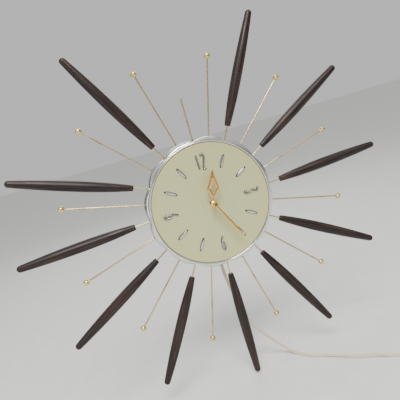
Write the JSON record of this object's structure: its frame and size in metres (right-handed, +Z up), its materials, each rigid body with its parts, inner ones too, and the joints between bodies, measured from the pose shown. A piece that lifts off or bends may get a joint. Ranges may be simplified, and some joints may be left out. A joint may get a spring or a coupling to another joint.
{
  "type": "sunburst wall clock",
  "caption": "Round-dialled electric wall clock with a scalloped bezel, radiating rods with turned wooden spindles and ball finials, a geared movement and a mains cord.",
  "frame": {"origin": "centre of the keyhole's head hole in the rear cover, at the wall plane", "axes": "+Y into the wall, out of the keyhole's back; -Y towards the reader; +Z up to 12 o'clock; +X to 3 o'clock"},
  "size_m": [0.6122, 0.1729, 0.5779],
  "materials": {
    "dial_enamel": "satin pale green-champagne lacquer",
    "bezel_chrome": "polished",
    "mark_chrome": "polished",
    "hand_gilt": "bright gilt",
    "ring_aluminium": "turned",
    "rod_brass": "satin",
    "ball_brass": "polished",
    "plate_steel": "zinc plated, dull",
    "cover_paint": "black wrinkle paint",
    "screw_steel": "plated",
    "movement_brass": "rolled sheet",
    "wheel_brass": "cut teeth",
    "capsule_aluminium": "drawn",
    "lamination_steel": "laminated, oiled",
    "bobbin_plastic": "moulded nylon",
    "winding_tape": "taped winding",
    "knob_plastic": "moulded",
    "spindle_walnut": "dark walnut, oiled",
    "cord_plastic": "ivory vinyl",
    "tie_plastic": "flat band",
    "blade_brass": "plated blades"
  },
  "bodies": {
    "case": {"ball_finials": "ball_brass", "bezel_ring": "bezel_chrome", "coil_bobbin": "bobbin_plastic", "coil_tie": "tie_plastic", "coil_winding": "winding_tape", "cord_coil": "cord_plastic", "cord_end": "cord_plastic", "cover_screws": "screw_steel", "dial_plate": "dial_enamel", "half_hour_rods": "rod_brass", "hour_batons": "mark_chrome", "hour_rods": "rod_brass", "lamination_screws": "screw_steel", "minute_post": "screw_steel", "mounting_plate": "plate_steel", "movement_front_plate": "movement_brass", "movement_pillars": "screw_steel", "movement_rear_plate": "movement_brass", "movement_screws": "screw_steel", "numeral_12": "mark_chrome", "numeral_3": "mark_chrome", "numeral_6": "mark_chrome", "numeral_9": "mark_chrome", "plug_blades": "blade_brass", "plug_body": "cord_plastic", "power_cord": "cord_plastic", "ray_ring": "ring_aluminium", "rear_cover": "cover_paint", "ring_screws": "screw_steel", "rotor_capsule": "capsule_aluminium", "spindle_01": "spindle_walnut", "spindle_02": "spindle_walnut", "spindle_03": "spindle_walnut", "spindle_04": "spindle_walnut", "spindle_05": "spindle_walnut", "spindle_06": "spindle_walnut", "spindle_07": "spindle_walnut", "spindle_08": "spindle_walnut", "spindle_09": "spindle_walnut", "spindle_10": "spindle_walnut", "spindle_11": "spindle_walnut", "stator_laminations": "lamination_steel", "strain_relief": "cord_plastic"},
    "minute_arbor": {"centre_arbor": "screw_steel", "centre_wheel": "wheel_brass", "cannon_pinion": "wheel_brass", "minute_hand": "hand_gilt", "hand_cap": "hand_gilt", "set_knob": "knob_plastic"},
    "hour_pipe": {"hour_wheel": "wheel_brass", "hour_hand": "hand_gilt"},
    "minute_wheel": {"minute_wheel": "wheel_brass"},
    "intermediate": {"intermediate_wheel": "wheel_brass", "intermediate_arbor": "screw_steel"},
    "rotor_output": {"rotor_pinion": "screw_steel"}
  },
  "joints": [
    {"name": "minute_turn", "type": "hinge", "parent": "case", "child": "minute_arbor", "pos_m": [0, -0.03, -0.03], "axis": [0, 1, 0], "continuous": true},
    {"name": "hour_turn", "type": "hinge", "parent": "case", "child": "hour_pipe", "pos_m": [0, -0.03, -0.03], "axis": [0, 1, 0], "continuous": true},
    {"name": "minute_wheel_turn", "type": "hinge", "parent": "case", "child": "minute_wheel", "pos_m": [0, -0.03, -0.018], "axis": [0, 1, 0], "continuous": true},
    {"name": "intermediate_turn", "type": "hinge", "parent": "case", "child": "intermediate", "pos_m": [-0.01722, -0.03, -0.03803], "axis": [0, 1, 0], "continuous": true},
    {"name": "rotor_turn", "type": "hinge", "parent": "case", "child": "rotor_output", "pos_m": [-0.01106, -0.03, -0.05494], "axis": [0, 1, 0], "continuous": true}
  ],
  "couplings": [
    {"joint": "hour_turn", "follows": "minute_turn", "ratio": 0.083333},
    {"joint": "minute_wheel_turn", "follows": "minute_turn", "ratio": -0.33333},
    {"joint": "intermediate_turn", "follows": "minute_turn", "ratio": -7.5},
    {"joint": "rotor_turn", "follows": "minute_turn", "ratio": 60}
  ]
}
